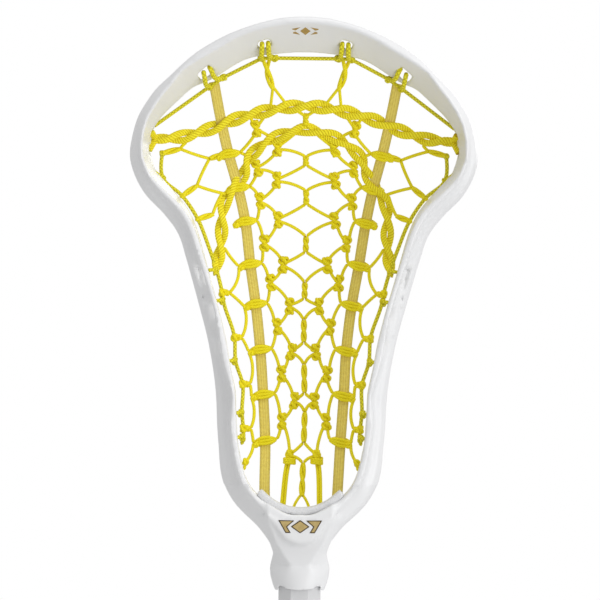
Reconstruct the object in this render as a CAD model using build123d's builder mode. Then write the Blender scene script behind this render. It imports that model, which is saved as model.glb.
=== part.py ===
"""Lacrosse stick: an octagonal shaft with a rubber butt cap and a strung, moulded head.

The stick stands upright. +Z runs from the butt to the scoop, +X to the right of a person who
looks into the open face of the head, and that face looks along -Y. The origin is the centre of
the butt. Lengths are in millimetres. Heights on the head count from the lower edge of its
collar, and most places on it are given for the right half, which the left half mirrors.
"""

from build123d import *
from math import atan2, cos, degrees, pi, radians, sin
import os

# ---- driving dimensions -------------------------------------------------------------------

SHAFT_LENGTH = 800
SHAFT_FLATS = 23.3  # across two opposite flats of the octagon
SHAFT_WALL = 1.5
SOCKET_DEPTH = 38  # length of shaft inside the head
FIT_GAP = 0.06  # radial gap of every sliding or turning fit

CAP_FLOOR = 6
CAP_HEIGHT = 44
CAP_RADIUS = 14.9
CAP_FLARE = 16.5

COLLAR_Z = CAP_FLOOR + SHAFT_LENGTH - SOCKET_DEPTH

SCREW_HEIGHT = 15
SCREW_RADIUS = 1.7
SCREW_HEAD_RADIUS = 3.6
SCREW_HEAD_THICKNESS = 2.2
SCREW_TIP_Y = 8.6
NECK_BACK_Y = 15.3

FOAM_HALF_DEPTH = 15
FOAM_WALL = [(0, 42.2), (11.4, 44.4), (22.5, 51.5), (23.9, 53.3)]  # against the throat
FOAM_EDGE = [(0, 45.5), (10.4, 47.4), (18.4, 52.4), (21.6, 55.4)]

POCKET_DEPTH = 22
POCKET_BOTTOM = 30
POCKET_TOP = 290

CORD_RADIUS = 0.7
SIDE_CORD_RADIUS = 0.9
TWIST_RADIUS = 1.3  # two cords twisted around each other
LACE_RADIUS = 1.9
KNOT_RADIUS = 1.9
STOPPER_RADIUS = 2.3
THONG_WIDTH = 5.8
THONG_THICKNESS = 1.2
WRAP_HALF_WIDTH = 5.6

# ---- outline of the head ------------------------------------------------------------------

# One row per cross-section of the frame, from the middle of the throat to the tip of the scoop:
# inner edge (x, height), outer edge (x, height), then distances from the inner edge to the
# inside of the front rim, its outside and the foot of the wall, how far behind the rim the foot
# and the outer edge lie, and how far the back face stops short of the outer edge.
FRAME_SECTIONS = [
    ((0, 42.2), (0, 27), 0, 3.3, 4.8, 3, 10, 1),
    ((11.4, 44.4), (16, 30), 0, 3.3, 4.8, 3.5, 12, 1),
    ((22.5, 51.5), (31.1, 41.7), 0, 3.3, 5, 8, 18, 1),
    ((30.3, 62), (41.6, 55.5), 0, 3.3, 5, 15, 24, 0.8),
    ((34, 76), (45.8, 73.6), 0, 3.3, 4.8, 19, 26, 0.8),
    ((35.6, 95), (46.9, 94.4), 0, 3.3, 4.8, 19, 26, 0.8),
    ((38.2, 120), (48.5, 118.6), 0, 3.3, 4.8, 19, 25, 0.8),
    ((43.5, 147), (53.9, 144.6), 0, 3.3, 4.8, 18, 23.5, 0.8),
    ((50, 172), (61, 169.3), 0.2, 3.4, 5, 16.5, 22, 0.8),
    ((55.3, 188.5), (65.3, 185), 0.5, 3.8, 5.2, 15, 20.5, 0.8),
    ((60.5, 204), (70, 198), 1.3, 4.4, 5.9, 12, 19, 0.8),
    ((69.5, 218), (79.4, 210.5), 2.7, 5.2, 6.8, 9, 18, 0.8),
    ((80, 229.5), (91.5, 224.4), 3.8, 5.6, 7, 7.5, 17, 0.8),
    ((84.8, 240), (96.8, 240), 4.3, 5.7, 7, 7.2, 16.5, 1.2),
    ((84.5, 251), (95.2, 253.8), 4.6, 6, 7.8, 6, 15, 2.1),
    ((79.5, 261.5), (89.2, 268.8), 6, 7.4, 9.6, 3.6, 11.5, 4.6),
    ((68, 273), (77.6, 282.6), 8.8, 9.9, 11.6, 2, 7.5, 7.8),
    ((56.5, 280.6), (65.2, 293.6), 12, 13, 14.4, 1.2, 4.2, 11.6),
    ((45, 286.9), (53.4, 302.3), 12.6, 13.6, 15, 0.8, 3.4, 12.4),
    ((33, 293.9), (38.8, 309.4), 12.6, 13.6, 15.2, 0.7, 3, 13),
    ((15, 297.3), (17.5, 316.2), 15.2, 16.2, 17.8, 0.6, 2.8, 15.6),
    ((8, 298), (8.8, 317.3), 15.4, 16.4, 18, 0.6, 2.8, 15.8),
    ((0, 298.2), (0, 317.7), 15.4, 16.4, 18, 0.6, 2.8, 15.8),
]
INNER_EDGE_THICKNESS = 4
BAND_SHARE = 0.62  # how much of the way out from the foot is a band that faces forward
BAND_DROP = 0.15  # and how much of the way back it drops
SCOOP_SLOPE = 1.33  # how steeply the scoop's front face comes forward
LOWEST_RAIL_Y = 24
RAIL_RISE = 26
RAIL_RISE_FROM = 120
RAIL_TOP = 298

# Level sections of the throat: height, half width, half width of the front flat, front y,
# y where the bevel meets the side, back y.
THROAT_SECTIONS = [
    (0, 13.5, 6.5, -14.1, -7, 14.6),
    (3.5, 14.9, 6.8, -14.9, -7, 15.1),
    (8, 16.2, 6.8, -15.3, -7, 15.3),
    (12, 16.5, 6, -15.4, -7, 15.3),
    (13.6, 16.4, 4.6, -14.4, -6, 15.3),
    (20.6, 14.7, 9.8, -14.9, -7, 15.6),
    (26.6, 16.8, 13.4, -16.2, -10, 17.6),
    (36, 24, 17, -18.2, -7, 21.8),
    (41, 30, 20.8, -19, -4, 24),
]

SCOOP_WINDOWS = [((22.6, 302.8), -16, 7.2, 3.8), ((55.2, 286.6), -40, 8.6, 4.6)]
SCOOP_SCALLOPS = [((0, 238), 60)]

# Slanted openings in the sidewall between its front and back rails: heights of the ends.
SIDE_OPENINGS = [(128, 144), (148, 164), (168, 184)]
SIDE_OPENING_SLANT = 6
SIDE_OPENING_FRONT_Y = -8.5
SIDE_OPENING_BACK_Y = 3.5

# Slanted grooves in the band beside the openings: upper end, lower end, and y of the floor.
SIDE_GROOVES = [
    ((58.8, 181), (56.2, 168), 5.2),
    ((55.4, 163.5), (52.4, 145), 6.1),
    ((50.6, 141), (48, 123), 6.8),
]
SIDE_GROOVE_WIDTH = 1.9

# ---- stringing, as (x, height) on the right half ------------------------------------------

THONG_ROUTE = [
    (51, 281.5),
    (42.7, 241.7),
    (37.6, 223),
    (33.6, 204.2),
    (30.3, 180.5),
    (26.8, 158.2),
    (24, 132.8),
    (22.5, 107.7),
    (21, 82),
    (20.3, 53.8),
    (19.6, 37),
]
WRAPS = THONG_ROUTE[1:9]
NEAR_KNOTS = [
    (15.9, 245.5),
    (16, 227.7),
    (15.8, 205.6),
    (12.5, 180.5),
    (8.2, 157.5),
    (7.1, 132),
    (5.6, 104.7),
    (7.6, 73.5),
]
FAR_KNOTS = [
    (27.5, 256.1),
    (26.9, 234.1),
    (25.5, 216),
    (23, 192.5),
    (19, 170.5),
    (14.9, 146),
    (12.6, 119.6),
    (12.3, 93.2),
]
CENTRE_TWISTS = [
    (264.2, 258.9),
    (240.9, 236.4),
    (222, 214.8),
    (196.5, 188.1),
    (170.9, 162.1),
    (149.9, 137.6),
    (124.9, 109.3),
    (98.2, 81.6),
    (69.9, 51.6),
]
SIDE_STRING = [
    (79, 241.8),
    (78.4, 228.1),
    (67.7, 218.3),
    (59, 205.5),
    (52.9, 190.5),
    (49, 177),
    (45, 164.6),
    (37.9, 139.7),
    (33.3, 113.8),
    (32.6, 89.1),
    (33.4, 80),
]
SIDE_KNOTS = [(45, 164.6), (37.9, 139.7), (33.3, 113.8), (32.6, 89.1)]
SIDE_BAR_REACH = 3.6
CROSS_LACE_END = (31, 70.5)
UPPER_LATTICE = [
    ((65.6, 248.2), (69.2, 244.4)),
    ((69.2, 244.4), (79, 241.8)),
    ((69.2, 244.4), (53.2, 239.2)),
    ((53.2, 239.2), (46.2, 241.5)),
    ((53.2, 239.2), (60, 224.1)),
    ((60, 224.1), (67.7, 218.3)),
    ((60, 224.1), (44, 219.6)),
    ((46.4, 219.8), (51.2, 208.2)),
    ((51.2, 208.2), (59, 205.5)),
]
UPPER_LACE = [(83.2, 249.6), (67, 251.4), (50.5, 256.6), (36, 262.2), (20, 266.3), (0, 268.9)]
UPPER_LACE_ENDS = [(85, 253.2), (86.2, 243.6)]
ARCH_LACE = [
    (46, 174.2),
    (46.4, 191),
    (46.4, 206),
    (44.4, 216),
    (39.9, 223.2),
    (34.7, 230.6),
    (31, 240.2),
    (25.5, 245.8),
    (17.3, 251.2),
    (8.5, 254.4),
    (0, 256),
]
TOP_STRING = [(84, 256.4), (53, 278.6), (47, 283.4), (27.4, 294), (18.4, 294.4)]
TOP_LOOPS = [
    ((53, 278.6), (56.6, 287.2)),
    ((47, 283.4), (53.2, 288.6)),
    ((25.6, 294.4), (24.9, 302.6)),
    ((20.4, 294.6), (21, 303.2)),
]
HANGER = [(22.2, 294.4), (18, 276.9)]
HANGER_FORK = [(19.6, 268.6), (11.1, 270)]
BOTTOM_LACE = [(7.6, 73.5), (8.4, 69.7), (10.2, 47.7), (10.8, 37)]
CENTRE_FORK = [(4, 46.2), (4.6, 37)]
STRING_HOLES = [(85, 253.2, 3.2), (86.2, 243.6, 3.2), (84, 256.4, 1.8), (82, 232, 1.8)]
STRING_HOLES += [(50.6, 177, 1.8), (46.6, 160, 1.8), (39.5, 126.5, 1.8), (35.8, 97.5, 1.8)]
STRING_HOLES += [(34.8, 84, 1.8)]


# ---- shape functions ----------------------------------------------------------------------


def rail_y(height):
    """Back face of the frame: level beside the pocket, then rising forward to the scoop."""
    rise = max(0, (height - RAIL_RISE_FROM) / (RAIL_TOP - RAIL_RISE_FROM))
    return LOWEST_RAIL_Y - RAIL_RISE * rise**2.2


def rim_y(height):
    """Front rim of the frame: lowest in the middle, higher at the throat and at the scoop."""
    if height < 170:
        return -13.5 - 5.5 * ((170 - height) / 125) ** 2
    return -13.5 - 14.5 * ((height - 170) / 148) ** 2


def inner_half_width(height):
    """Half width of the opening between the sidewalls at a height below its widest place."""
    rows = [row[0] for row in FRAME_SECTIONS[2:14]]
    for (low_x, low), (high_x, high) in zip(rows, rows[1:]):
        if low <= height <= high:
            return low_x + (high_x - low_x) * (height - low) / (high - low)
    return rows[0][0] if height < rows[0][1] else rows[-1][0]


def net_point(x, height, forward=0):
    """A place on the strung pocket, which bulges backward between the sidewalls."""
    along = (height - POCKET_BOTTOM) / (POCKET_TOP - POCKET_BOTTOM)
    sag = POCKET_DEPTH * sin(pi * min(max(along, 0), 1))
    across = min(abs(x) / (inner_half_width(height) + 1), 1)
    return Vector(x, rail_y(height) + sag * (1 - across**2) - forward, COLLAR_Z + height)


def section_plane(row):
    """Plane of one frame section: local x runs outward across the wall, local y is global y."""
    (inner_x, inner_h), (outer_x, outer_h) = row[0], row[1]
    outward = Vector(outer_x - inner_x, 0, outer_h - inner_h).normalized()
    along = Vector(-outward.Z, 0, outward.X)
    return Plane(origin=(inner_x, 0, COLLAR_Z + inner_h), x_dir=outward, z_dir=along)


def section_outline(row):
    """Eight corners of one frame section, from the back of the inner edge round the rim."""
    (inner_x, inner_h), (outer_x, outer_h), rim_in, rim_out, foot, foot_dy, outer_dy, inset = row
    width = Vector(outer_x - inner_x, outer_h - inner_h).length
    rim_height = inner_h + (outer_h - inner_h) * rim_out / width
    front = rim_y(rim_height)
    back = rail_y(inner_h)
    return [
        (0.5, back),
        (0, back - INNER_EDGE_THICKNESS),
        (rim_in, front + 0.6),
        (rim_out, front),
        (foot, front + foot_dy),
        (foot + BAND_SHARE * (width - foot), front + foot_dy + BAND_DROP * (outer_dy - foot_dy)),
        (width, front + outer_dy),
        (width - inset, back),
    ]


def scoop_face_y(distance, edge_height):
    """Front face of the scoop, at a distance outward from its inner edge."""
    return rail_y(edge_height) - INNER_EDGE_THICKNESS - SCOOP_SLOPE * distance


def run_plane(start, end):
    return Plane(origin=start, z_dir=end - start)


def face_plane(y=0, height=0, x=0, turn=0):
    """Plane that faces forward, with its own x turned by an angle from +X towards +Z."""
    origin = (x, y, COLLAR_Z + height)
    return Plane(origin=origin, x_dir=(cos(radians(turn)), 0, sin(radians(turn))), z_dir=(0, -1, 0))


def chain(points):
    """Straight runs that join a list of points."""
    return list(zip(points, points[1:]))


SIDES = [(1, "right"), (-1, "left")]
pieces = {}


# ---- shaft, butt cap and screw ------------------------------------------------------------

THROUGH_BACK = Plane(origin=(0, 0, COLLAR_Z + SCREW_HEIGHT), x_dir=(1, 0, 0), z_dir=(0, 1, 0))

with BuildPart() as shaft:
    with BuildSketch(Plane.XY.offset(CAP_FLOOR)):
        RegularPolygon(SHAFT_FLATS / 2, 8, major_radius=False, rotation=22.5)
    extrude(amount=SHAFT_LENGTH)
    fillet(shaft.edges().filter_by(Axis.Z), 0.8)
    with BuildSketch(Plane.XY.offset(CAP_FLOOR)):
        RegularPolygon(SHAFT_FLATS / 2 - SHAFT_WALL, 8, major_radius=False, rotation=22.5)
    extrude(amount=SHAFT_LENGTH, mode=Mode.SUBTRACT)
    with BuildSketch(THROUGH_BACK):
        Circle(SCREW_RADIUS + FIT_GAP)
    extrude(amount=SHAFT_FLATS, mode=Mode.SUBTRACT)
pieces["shaft"] = shaft.part

with BuildPart() as end_cap:
    with BuildSketch(Plane.XZ):
        with BuildLine():
            Polyline(
                (0, 0),
                (CAP_FLARE - 1.5, 0),
                (CAP_FLARE, 1.5),
                (CAP_FLARE, 5),
                (CAP_RADIUS, 9),
                (CAP_RADIUS, CAP_HEIGHT - 1.5),
                (CAP_RADIUS - 1, CAP_HEIGHT),
                (0, CAP_HEIGHT),
                close=True,
            )
        make_face()
    revolve(axis=Axis.Z)
    with BuildSketch(Plane.XY.offset(CAP_FLOOR)):
        RegularPolygon(SHAFT_FLATS / 2 + FIT_GAP, 8, major_radius=False, rotation=22.5)
    extrude(amount=CAP_HEIGHT, mode=Mode.SUBTRACT)
    for groove_z in (16, 22, 28, 34):
        with BuildSketch(Plane.XY.offset(groove_z)):
            Circle(CAP_RADIUS + 1)
            Circle(CAP_RADIUS - 0.7, mode=Mode.SUBTRACT)
        extrude(amount=1.6, mode=Mode.SUBTRACT)
pieces["end_cap"] = end_cap.part

with BuildPart() as head_screw:
    with BuildSketch(THROUGH_BACK.offset(SCREW_TIP_Y)):
        Circle(SCREW_RADIUS)
    extrude(amount=NECK_BACK_Y + 0.5 - SCREW_TIP_Y)
    with BuildSketch(THROUGH_BACK.offset(NECK_BACK_Y + 0.4)):
        Circle(SCREW_HEAD_RADIUS)
    extrude(amount=SCREW_HEAD_THICKNESS)
    fillet(head_screw.faces().sort_by(Axis.Y)[-1].edges(), 0.7)
    with BuildSketch(THROUGH_BACK.offset(NECK_BACK_Y + SCREW_HEAD_THICKNESS - 0.9)):
        Rectangle(4, 0.9)
        Rectangle(0.9, 4)
    extrude(amount=4, mode=Mode.SUBTRACT)
pieces["head_screw"] = head_screw.part

# ---- moulded head -------------------------------------------------------------------------

with BuildPart() as head_frame:
    for row in FRAME_SECTIONS:
        with BuildSketch(section_plane(row)):
            Polygon(*section_outline(row), align=None)
    loft()
    mirror(about=Plane.YZ)

    for height, half_width, flat, front_y, bevel_y, back_y in THROAT_SECTIONS:
        with BuildSketch(Plane.XY.offset(COLLAR_Z + height)):
            right = [
                (flat, front_y),
                (half_width, bevel_y),
                (half_width, back_y - 6),
                (half_width - 5.5, back_y),
            ]
            left = [(-x, y) for x, y in reversed(right)]
            Polygon(*right, *left, align=None)
    loft(ruled=True)

    # Raised plate on the front of the throat, under the rim.
    with BuildSketch(face_plane(-17)):
        with BuildLine():
            ThreePointArc((-9.9, 28.9), (0, 25), (9.9, 28.9))
            Polyline((9.9, 28.9), (25.6, 48.6), (14, 41.4))
            ThreePointArc((14, 41.4), (0, 38.8), (-14, 41.4))
            Polyline((-14, 41.4), (-25.6, 48.6), (-9.9, 28.9))
        make_face()
    extrude(amount=3.1, taper=25)

    # Socket for the shaft, and the curved lower edge of the collar.
    with BuildSketch(Plane.XY.offset(COLLAR_Z)):
        RegularPolygon(SHAFT_FLATS / 2 + FIT_GAP, 8, major_radius=False, rotation=22.5)
    extrude(amount=SOCKET_DEPTH, mode=Mode.SUBTRACT)
    with BuildSketch(face_plane()):
        with BuildLine():
            ThreePointArc((-11.9, 2.8), (0, 0.2), (11.9, 2.8))
            Polyline((11.9, 2.8), (11.9, -2), (-11.9, -2), (-11.9, 2.8))
        make_face()
    extrude(amount=40, both=True, mode=Mode.SUBTRACT)

    # Flat seat and hole for the screw at the back of the neck.
    with BuildSketch(THROUGH_BACK.offset(NECK_BACK_Y)):
        Circle(SCREW_HEAD_RADIUS + 1)
    extrude(amount=10, mode=Mode.SUBTRACT)
    with BuildSketch(THROUGH_BACK.offset(5)):
        Circle(SCREW_RADIUS + FIT_GAP)
    extrude(amount=20, mode=Mode.SUBTRACT)

    for side, _ in SIDES:
        # Windows near the edge of the scoop, and scallops between them.
        for (x, height), turn, length, width in SCOOP_WINDOWS:
            with BuildSketch(face_plane(0, height, side * x, side * turn)):
                RectangleRounded(length, width, 1)
            extrude(amount=60, both=True, mode=Mode.SUBTRACT)

        for (x, height), radius in SCOOP_SCALLOPS:
            with BuildSketch(face_plane(0, height, side * x)):
                Circle(radius)
            extrude(amount=60, both=True, mode=Mode.SUBTRACT)

        # Slanted openings between the front and back rails.
        for low, high in SIDE_OPENINGS:
            with BuildSketch(Plane(origin=(0, 0, COLLAR_Z), x_dir=(0, 1, 0), z_dir=(1, 0, 0))):
                Polygon(
                    (SIDE_OPENING_FRONT_Y, low + SIDE_OPENING_SLANT),
                    (SIDE_OPENING_BACK_Y, low),
                    (SIDE_OPENING_BACK_Y, high - SIDE_OPENING_SLANT),
                    (SIDE_OPENING_FRONT_Y, high),
                    align=None,
                )
            extrude(amount=side * 80, mode=Mode.SUBTRACT)

        for top, low, floor_y in SIDE_GROOVES:
            run = Vector(top) - Vector(low)
            middle = (Vector(top) + Vector(low)) / 2
            turn = degrees(atan2(run.Y, run.X))
            with BuildSketch(face_plane(floor_y, middle.Y, side * middle.X, side * turn)):
                Rectangle(run.length, SIDE_GROOVE_WIDTH)
            extrude(amount=30, mode=Mode.SUBTRACT)

        # Holes for the strings near the back edge of the wall.
        for x, height, radius in STRING_HOLES:
            hole_plane = Plane(
                origin=(side * (x - 8), rail_y(height) - 5, COLLAR_Z + height),
                z_dir=(side, 0, 0),
            )
            with BuildSketch(hole_plane):
                Circle(radius)
            extrude(amount=30, mode=Mode.SUBTRACT)
pieces["head_frame"] = head_frame.part

with BuildPart() as ball_stop:
    with BuildSketch(face_plane()):
        with BuildLine():
            for edge in (FOAM_WALL, FOAM_EDGE):
                Spline(*[(-x, height) for x, height in reversed(edge[1:])], *edge)
            for side, _ in SIDES:
                ends = [(side * x, height) for x, height in (FOAM_WALL[-1], FOAM_EDGE[-1])]
                Line(*ends)
        make_face()
    extrude(amount=FOAM_HALF_DEPTH, both=True)
pieces["ball_stop"] = ball_stop.part

# ---- gold ornaments -----------------------------------------------------------------------

with BuildPart() as throat_emblem:
    with BuildSketch(face_plane(-19.6, 35.6)):
        Polygon((0, 3), (4.5, 0), (0, -3), (-4.5, 0), align=None)
        for side, _ in SIDES:
            Polygon(
                (side * 4, 3), (side * 11.3, 3), (side * 7.6, -3), (side * 5.9, -3), (side * 7.6, 0),
                align=None,
            )
    extrude(amount=1.1)
pieces["throat_emblem"] = throat_emblem.part

with BuildPart() as scoop_emblem:
    edge_height = FRAME_SECTIONS[-1][0][1]
    middle = (0, scoop_face_y(11.6, edge_height), COLLAR_Z + edge_height + 11.6)
    slope = Plane(origin=middle, x_dir=(1, 0, 0), z_dir=(0, -1, -SCOOP_SLOPE))
    with BuildSketch(slope.offset(-0.9)):
        Polygon((0, 2.6), (3.2, 0), (0, -2.6), (-3.2, 0), align=None)
        for side, _ in SIDES:
            Polygon((side * 3, 2.4), (side * 9, 1.2), (side * 5.6, 0), align=None)
            Polygon((side * 3, -2.4), (side * 9, -1.2), (side * 5.6, 0), align=None)
    extrude(amount=1.2)
pieces["scoop_emblem"] = scoop_emblem.part

# ---- thongs -------------------------------------------------------------------------------

for side, side_name in SIDES:
    with BuildPart() as thong:
        for start, end in chain([net_point(side * x, height) for x, height in THONG_ROUTE]):
            across = Plane(origin=start, x_dir=(1, 0, 0), z_dir=end - start)
            with BuildSketch(across):
                Rectangle(THONG_WIDTH, THONG_THICKNESS)
            with BuildSketch(Plane(origin=end, x_dir=(1, 0, 0), z_dir=end - start)):
                Rectangle(THONG_WIDTH, THONG_THICKNESS)
            loft(ruled=True)
    pieces[f"thong_{side_name}"] = thong.part

# ---- laces and cords ----------------------------------------------------------------------


def facet_bar(start, end, radius):
    """Eight-sided bar between two points."""
    profile = run_plane(start, end).location * RegularPolygon(radius, 8, mode=Mode.PRIVATE)
    return extrude(profile, amount=(end - start).length, dir=end - start, mode=Mode.PRIVATE)


def cord_solids(runs, radius, knots=(), knot_radius=KNOT_RADIUS):
    """Plain bars along straight runs, a short stub at every joint and a larger one at a knot.

    It is called outside any builder, which then adds the bars to its part in one go.
    """
    solids = [facet_bar(start, end, radius) for start, end in runs]
    stubs = {}
    for point in [point for ends in runs for point in ends]:
        stubs[(round(point.X, 3), round(point.Y, 3), round(point.Z, 3))] = radius * 1.08
    for knot in knots:
        stubs[(round(knot.X, 3), round(knot.Y, 3), round(knot.Z, 3))] = knot_radius
    for place, stub_radius in stubs.items():
        half_length = Vector(0, 0.93 * stub_radius, 0)
        solids.append(facet_bar(Vector(place) - half_length, Vector(place) + half_length, stub_radius))
    return solids


def cross_lace_inner(side):
    """Runs and knots of the diamond mesh between the middle and one thong."""
    runs = []
    for index, (x, height) in enumerate(NEAR_KNOTS):
        knot = net_point(side * x, height)
        runs.append((net_point(0, CENTRE_TWISTS[index][1]), knot))
        runs.append((knot, net_point(0, CENTRE_TWISTS[index + 1][0])))
        runs += [(knot, net_point(side * far_x, far_h)) for far_x, far_h in FAR_KNOTS[index:index + 2]]
    for index, (x, height) in enumerate(FAR_KNOTS):
        knot = net_point(side * x, height)
        for wrap_x, wrap_h in WRAPS[max(index - 1, 0):index + 1]:
            runs.append((knot, net_point(side * (wrap_x - WRAP_HALF_WIDTH), wrap_h)))
    runs.append((net_point(side * 27.5, 256.1), net_point(side * 30, 264, 1)))
    knots = [net_point(side * x, height) for x, height in NEAR_KNOTS + FAR_KNOTS]
    return runs, knots


def cross_lace_outer(side):
    """Runs and knots of the open mesh between one thong and its sidewall, with the wraps."""
    runs = []
    for x, height in WRAPS:
        for forward in (1.4, -1.4):
            inner_end = net_point(side * (x - WRAP_HALF_WIDTH), height, forward)
            outer_end = net_point(side * (x + WRAP_HALF_WIDTH), height, forward)
            runs.append((inner_end, outer_end))
    lower_wraps = WRAPS[3:]
    for index, (x, height) in enumerate(SIDE_KNOTS):
        bar_end = net_point(side * (x - SIDE_BAR_REACH), height)
        runs.append((net_point(side * x, height), bar_end))
        for wrap_x, wrap_h in lower_wraps[index:index + 2]:
            runs.append((bar_end, net_point(side * (wrap_x + WRAP_HALF_WIDTH), wrap_h)))
    last_x, last_h = WRAPS[-1]
    end_x, end_h = CROSS_LACE_END
    runs.append((net_point(side * (last_x + WRAP_HALF_WIDTH), last_h), net_point(side * end_x, end_h)))
    top_x, top_h = WRAPS[3]
    runs.append((net_point(side * (top_x + WRAP_HALF_WIDTH), top_h), net_point(side * 44.6, 190)))
    for start, end in UPPER_LATTICE:
        runs.append((net_point(side * start[0], start[1]), net_point(side * end[0], end[1])))
    knots = [net_point(side * x, height) for x, height in SIDE_KNOTS + [CROSS_LACE_END]]
    return runs, knots


def cord_part(*groups):
    """One part of several groups of cords, each given as cord_solids takes it."""
    solids = [solid for group in groups for solid in cord_solids(*group)]
    with BuildPart() as cords:
        add(solids)
    return cords.part


for side, side_name in SIDES:
    inner_runs, inner_knots = cross_lace_inner(side)
    pieces[f"cross_lace_inner_{side_name}"] = cord_part((inner_runs, CORD_RADIUS, inner_knots))

    outer_runs, outer_knots = cross_lace_outer(side)
    pieces[f"cross_lace_outer_{side_name}"] = cord_part((outer_runs, CORD_RADIUS, outer_knots))

    string_points = [net_point(side * x, height) for x, height in SIDE_STRING]
    string_runs = chain(string_points)
    string_runs.append((string_points[1], net_point(side * 84, 232, 5)))
    pieces[f"sidewall_string_{side_name}"] = cord_part(
        (string_runs, SIDE_CORD_RADIUS, string_points[:4])
    )

    bottom_points = [net_point(side * x, height) for x, height in BOTTOM_LACE]
    pieces[f"bottom_lace_{side_name}"] = cord_part(
        (chain(bottom_points), TWIST_RADIUS, bottom_points[-1:], STOPPER_RADIUS)
    )

    hanger_points = [net_point(side * x, height, 1) for x, height in HANGER]
    fork_runs = [
        (hanger_points[-1], net_point(side * x, height, 1)) for x, height in HANGER_FORK
    ]
    pieces[f"hanger_lace_{side_name}"] = cord_part((chain(hanger_points) + fork_runs, TWIST_RADIUS))

twist_runs = [(net_point(0, top), net_point(0, low)) for top, low in CENTRE_TWISTS]
fork_runs = []
fork_ends = []
for side, _ in SIDES:
    points = [net_point(0, CENTRE_TWISTS[-1][1])]
    points += [net_point(side * x, height) for x, height in CENTRE_FORK]
    fork_runs += chain(points)
    fork_ends.append(points[-1])
pieces["centre_lace"] = cord_part(
    (twist_runs, TWIST_RADIUS), (fork_runs, SIDE_CORD_RADIUS, fork_ends)
)

top_runs = []
top_knots = []
for side, _ in SIDES:
    points = [net_point(side * x, height, 2) for x, height in TOP_STRING]
    top_runs += chain(points)
    top_knots += points[1:]
    for (foot_x, foot_h), (x, height) in TOP_LOOPS:
        front = Vector(side * x, scoop_face_y(6, height - 6) - 1, COLLAR_Z + height)
        top_runs.append((net_point(side * foot_x, foot_h, 2), front))
        top_runs.append((front, front + Vector(0, 12, 0)))
middle_x, middle_height = TOP_STRING[-1]
top_runs.append((net_point(middle_x, middle_height, 2), net_point(-middle_x, middle_height, 2)))
pieces["top_string"] = cord_part((top_runs, SIDE_CORD_RADIUS, top_knots, 1.7))

for lace_name, spread, end in zip("ab", (2, -2), UPPER_LACE_ENDS):
    points = []
    for x, height in UPPER_LACE:
        points.append(net_point(x, height, 2.4) + Vector(0, 0, spread))
    points.insert(0, net_point(end[0], end[1], 4))
    points += [Vector(-point.X, point.Y, point.Z) for point in reversed(points[:-1])]
    pieces[f"upper_shooting_lace_{lace_name}"] = cord_part((chain(points), LACE_RADIUS))

for lace_name, spread in zip("ab", (1.9, -1.9)):
    points = []
    for x, height in ARCH_LACE:
        sideways = min(x / 40, 1)
        shift = Vector(spread * sideways, 0, spread * (1 - sideways))
        points.append(net_point(x, height, 2.4) + shift)
    points += [Vector(-point.X, point.Y, point.Z) for point in reversed(points[:-1])]
    pieces[f"arch_shooting_lace_{lace_name}"] = cord_part((chain(points), LACE_RADIUS))

# ---- files --------------------------------------------------------------------------------

os.makedirs("parts", exist_ok=True)
for node, piece in pieces.items():
    piece.label = node
    export_step(piece, f"parts/{node}.step")
    print(node, len(piece.solids()), "solids", round(piece.volume), "mm3")
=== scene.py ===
"""Looks of the lacrosse stick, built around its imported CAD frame.

The stick stands upright. +Z runs up the shaft to the scoop, and the open face of the head looks
along -Y. Places on the head are (x, height) in millimetres on its right half, heights counting
from the lower edge of the collar, as in the part's source; MM turns them into metres. Every cord
is a swept mesh that follows such a route, and stands for the plain bars of one CAD node.
"""

from math import cos, pi, radians, sin

import bmesh
import bpy
import numpy as np
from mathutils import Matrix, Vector


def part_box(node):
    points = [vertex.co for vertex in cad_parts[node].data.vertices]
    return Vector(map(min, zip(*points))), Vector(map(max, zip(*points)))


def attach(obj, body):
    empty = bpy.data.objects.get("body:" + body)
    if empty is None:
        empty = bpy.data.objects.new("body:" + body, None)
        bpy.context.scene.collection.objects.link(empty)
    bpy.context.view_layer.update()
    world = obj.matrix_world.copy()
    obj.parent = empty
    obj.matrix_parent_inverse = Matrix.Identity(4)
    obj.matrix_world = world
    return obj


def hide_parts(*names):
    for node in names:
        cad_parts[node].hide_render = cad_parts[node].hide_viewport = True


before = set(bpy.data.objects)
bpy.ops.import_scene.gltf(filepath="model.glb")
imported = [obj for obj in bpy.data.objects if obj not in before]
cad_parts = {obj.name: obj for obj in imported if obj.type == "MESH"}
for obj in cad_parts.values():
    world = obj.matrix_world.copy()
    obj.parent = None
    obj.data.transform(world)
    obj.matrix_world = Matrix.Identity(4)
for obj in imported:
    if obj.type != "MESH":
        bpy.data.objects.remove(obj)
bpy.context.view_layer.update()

MM = 0.001
SOCKET_DEPTH = 38
COLLAR_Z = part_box("shaft")[1].z - SOCKET_DEPTH * MM
FORWARD = np.array([0.0, -1.0, 0.0])
SIDES = [(1, "right"), (-1, "left")]

# ---- camera -------------------------------------------------------------------------------

VIEW_HEIGHT = 333 * MM  # how much of the stick the picture shows
VIEW_DISTANCE = 6.0
VIEW_CENTRE = (-1.4, 161)
VIEW_ROLL = 0.6

camera_data = bpy.data.cameras.new("camera")
camera_data.sensor_width = 36
camera_data.lens = camera_data.sensor_width * VIEW_DISTANCE / VIEW_HEIGHT
camera_data.clip_end = 20
camera = bpy.data.objects.new("camera", camera_data)
camera.location = (VIEW_CENTRE[0] * MM, -VIEW_DISTANCE, COLLAR_Z + VIEW_CENTRE[1] * MM)
camera.rotation_euler = (radians(90), radians(-VIEW_ROLL), 0)
bpy.context.scene.collection.objects.link(camera)
bpy.context.scene.camera = camera

# ---- the net's surface --------------------------------------------------------------------

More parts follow.
